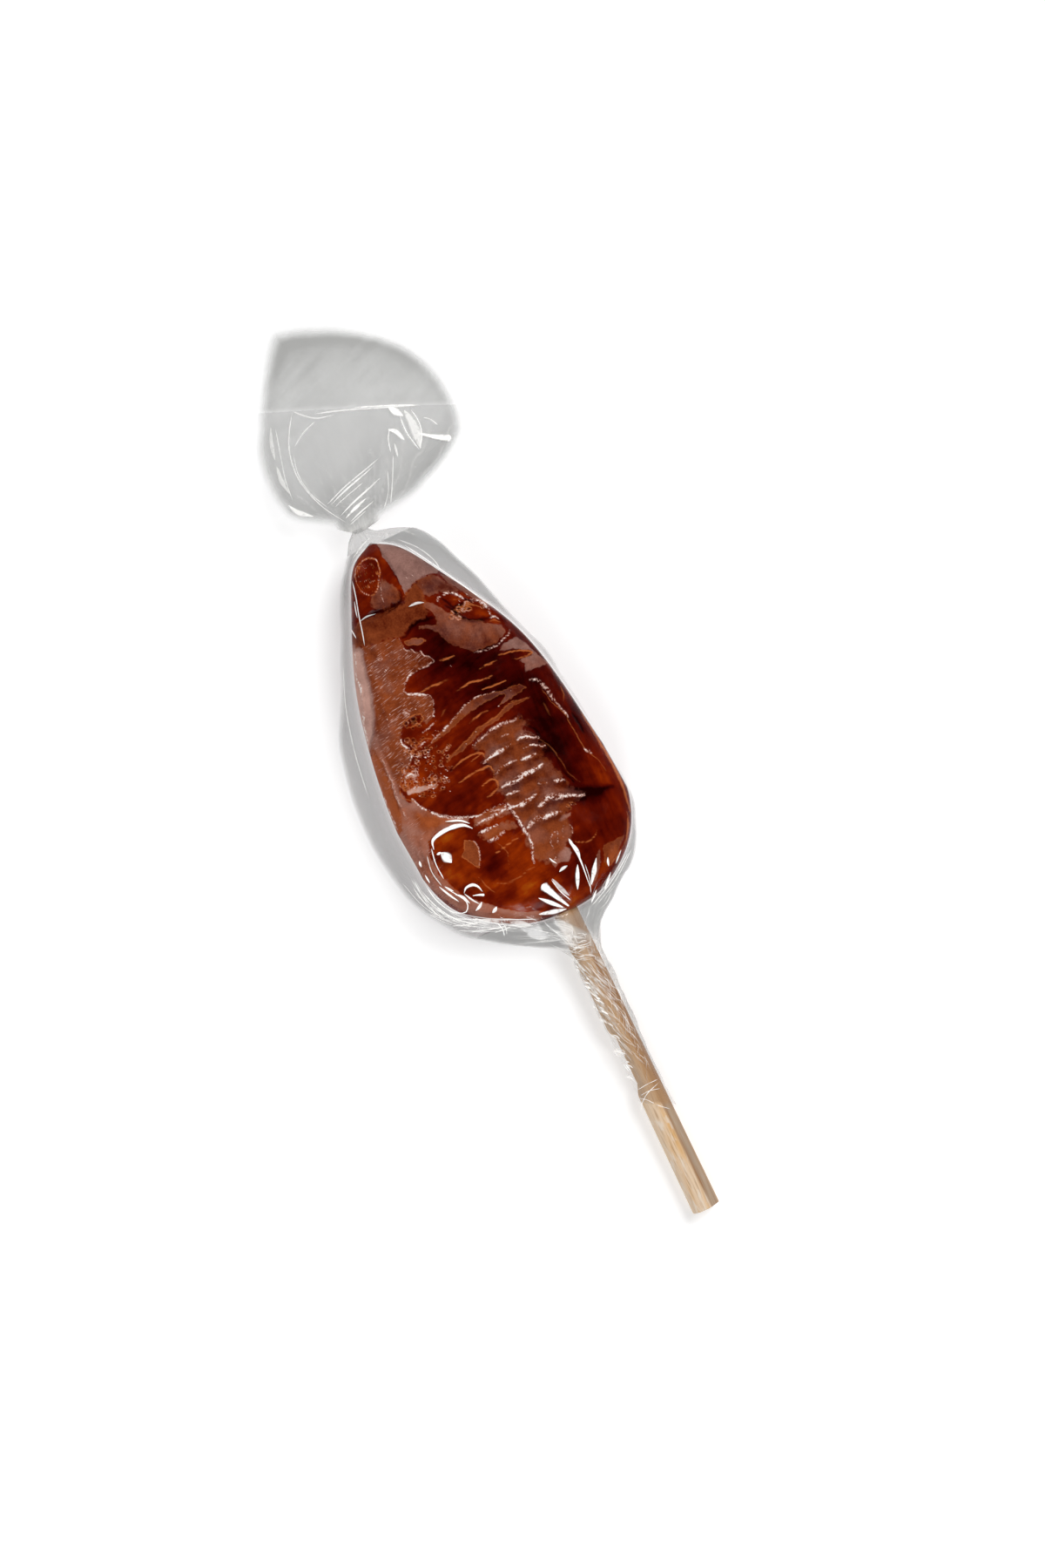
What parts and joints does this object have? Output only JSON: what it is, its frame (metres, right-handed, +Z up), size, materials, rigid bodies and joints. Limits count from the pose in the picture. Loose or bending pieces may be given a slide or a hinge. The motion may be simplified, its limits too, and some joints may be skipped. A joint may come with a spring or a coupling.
{
  "type": "wrapped caramel lollipop",
  "caption": "Flat teardrop of hard caramel on a wooden stick, gathered in clear film with a twisted sleeve round the stick and a fanned tail; lies on its back.",
  "frame": {"origin": "on the table, under the middle of the whole object's box", "axes": "+Y from the stick's free end towards the film's tail, +Z up out of the shown face, +X to the right seen from above"},
  "size_m": [0.0436, 0.1704, 0.0158],
  "materials": {
    "caramel": "hard boiled caramel, dark amber to deep brown, glossy where the film clings and hazy where it does not",
    "stick_wood": "plain pale split wood, fine grain along its length, rough cut end",
    "clear_film": "thin clear wrapping film with bright folds and creases"
  },
  "bodies": {
    "root": {"candy": "caramel", "stick": "stick_wood", "film": "clear_film"}
  },
  "joints": []
}
